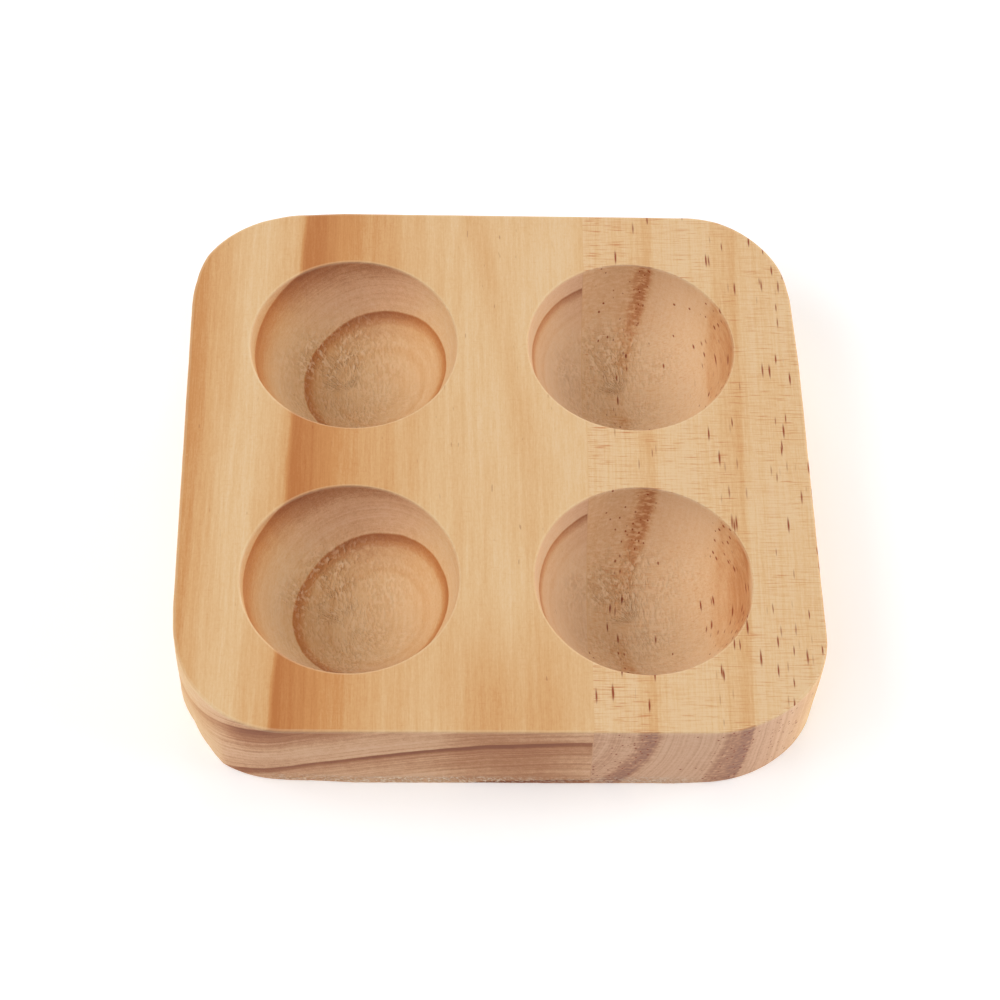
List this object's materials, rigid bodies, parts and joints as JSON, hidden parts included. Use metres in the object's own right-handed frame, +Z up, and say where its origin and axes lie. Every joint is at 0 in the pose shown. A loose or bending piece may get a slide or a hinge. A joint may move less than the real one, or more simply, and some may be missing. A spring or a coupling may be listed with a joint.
{
  "type": "egg holder tray",
  "caption": "Square wooden egg holder tray with rounded corners and ball-shaped cups, edge-glued from pine boards.",
  "frame": {"origin": "middle of the underside, at the centre of the tray's outline", "axes": "+Z up through the thickness, +X to the right across the joint, +Y to the back along the grain; the front is -Y"},
  "size_m": [0.12, 0.1194, 0.02],
  "materials": {
    "flat_sawn_pine": "fine sanded, unvarnished",
    "quarter_sawn_pine": "fine sanded, unvarnished",
    "cured_glue": "dull, machined flush"
  },
  "bodies": {
    "root": {"left_board": "flat_sawn_pine", "right_board": "quarter_sawn_pine", "glue_line": "cured_glue"}
  },
  "joints": []
}
